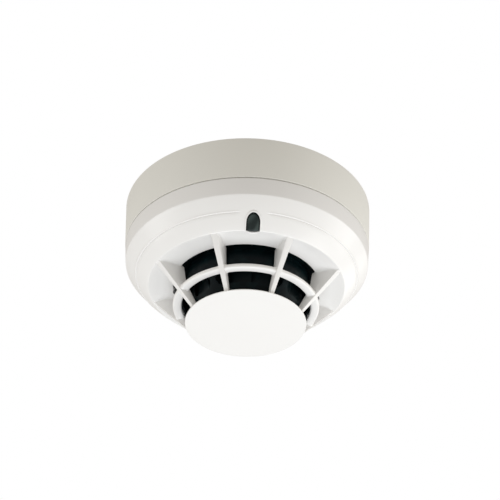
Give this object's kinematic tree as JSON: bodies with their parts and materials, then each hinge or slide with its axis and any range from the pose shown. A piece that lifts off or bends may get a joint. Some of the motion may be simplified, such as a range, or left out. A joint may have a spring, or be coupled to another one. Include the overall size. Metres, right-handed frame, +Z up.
{
  "type": "heat detector",
  "caption": "Round ceiling heat detector: a twist-lock base and a conical head with a ribbed open cage, dark inner chamber, end disc and small smoked indicator lens.",
  "frame": {"origin": "centre of the base's ceiling face", "axes": "+Z up into the ceiling, along the axis of the round body; the indicator lens faces -Y"},
  "size_m": [0.104, 0.104, 0.0574],
  "materials": {
    "white_plastic_base": "satin moulded plastic, warm white",
    "white_plastic_head": "semi-gloss moulded plastic, warm white",
    "spring_metal": "tin-plated phosphor bronze",
    "plated_steel": "nickel-plated steel",
    "smoked_lens": "dark smoked transparent plastic",
    "black_plastic": "fine-matt black plastic",
    "dark_mesh": "blackened fine mesh",
    "dark_optic": "infrared-passing dark epoxy",
    "sensor_epoxy": "dark epoxy bead with tinned leads",
    "sensor_glass": "glass bead with tinned leads",
    "board_green": "glass-epoxy board with green resist",
    "switch_blue": "moulded switch plastic",
    "dial_white": "moulded dial plastic",
    "package_black": "moulded package epoxy",
    "can_metal": "bare aluminium can",
    "chip_ceramic": "ceramic chips with tinned ends",
    "lamp_clear": "clear lamp package"
  },
  "bodies": {
    "base": {"base_shell": "white_plastic_base", "base_contact_1": "spring_metal", "base_contact_2": "spring_metal", "base_contact_3": "spring_metal", "base_contact_4": "spring_metal", "clamp_plates": "plated_steel", "terminal_screws": "plated_steel"},
    "tens_dial_body": {"tens_dial": "dial_white"},
    "units_dial_body": {"units_dial": "dial_white"},
    "head": {"head_housing": "white_plastic_head", "head_contact_1": "spring_metal", "head_contact_2": "spring_metal", "head_contact_3": "spring_metal", "head_contact_4": "spring_metal", "cover_shell": "white_plastic_head", "cage_ring": "white_plastic_head", "cage_ribs": "white_plastic_head", "end_disc": "white_plastic_head", "indicator_lens": "smoked_lens", "chamber_base": "black_plastic", "chamber_labyrinth": "black_plastic", "insect_screen": "dark_mesh", "infrared_emitter": "dark_optic", "photodiode": "dark_optic", "thermistor_1": "sensor_epoxy", "thermistor_2": "sensor_epoxy", "circuit_board": "board_green", "board_screws": "plated_steel", "tens_switch_body": "switch_blue", "units_switch_body": "switch_blue", "microcontroller": "package_black", "capacitor": "can_metal", "surge_suppressor": "package_black", "reed_switch": "sensor_glass", "surface_mount_parts": "chip_ceramic", "shield_can": "can_metal", "status_led": "lamp_clear"}
  },
  "joints": [
    {"name": "head_twist", "type": "hinge", "parent": "base", "child": "head", "pos_m": [0, 0, 0], "axis": [0, 0, 1], "range_deg": [-16, 0]},
    {"name": "tens_dial_turn", "type": "hinge", "parent": "head", "child": "tens_dial_body", "pos_m": [-0.0065, 0, -0.02], "axis": [0, 0, 1], "continuous": true},
    {"name": "units_dial_turn", "type": "hinge", "parent": "head", "child": "units_dial_body", "pos_m": [0.0065, 0, -0.02], "axis": [0, 0, 1], "continuous": true}
  ]
}
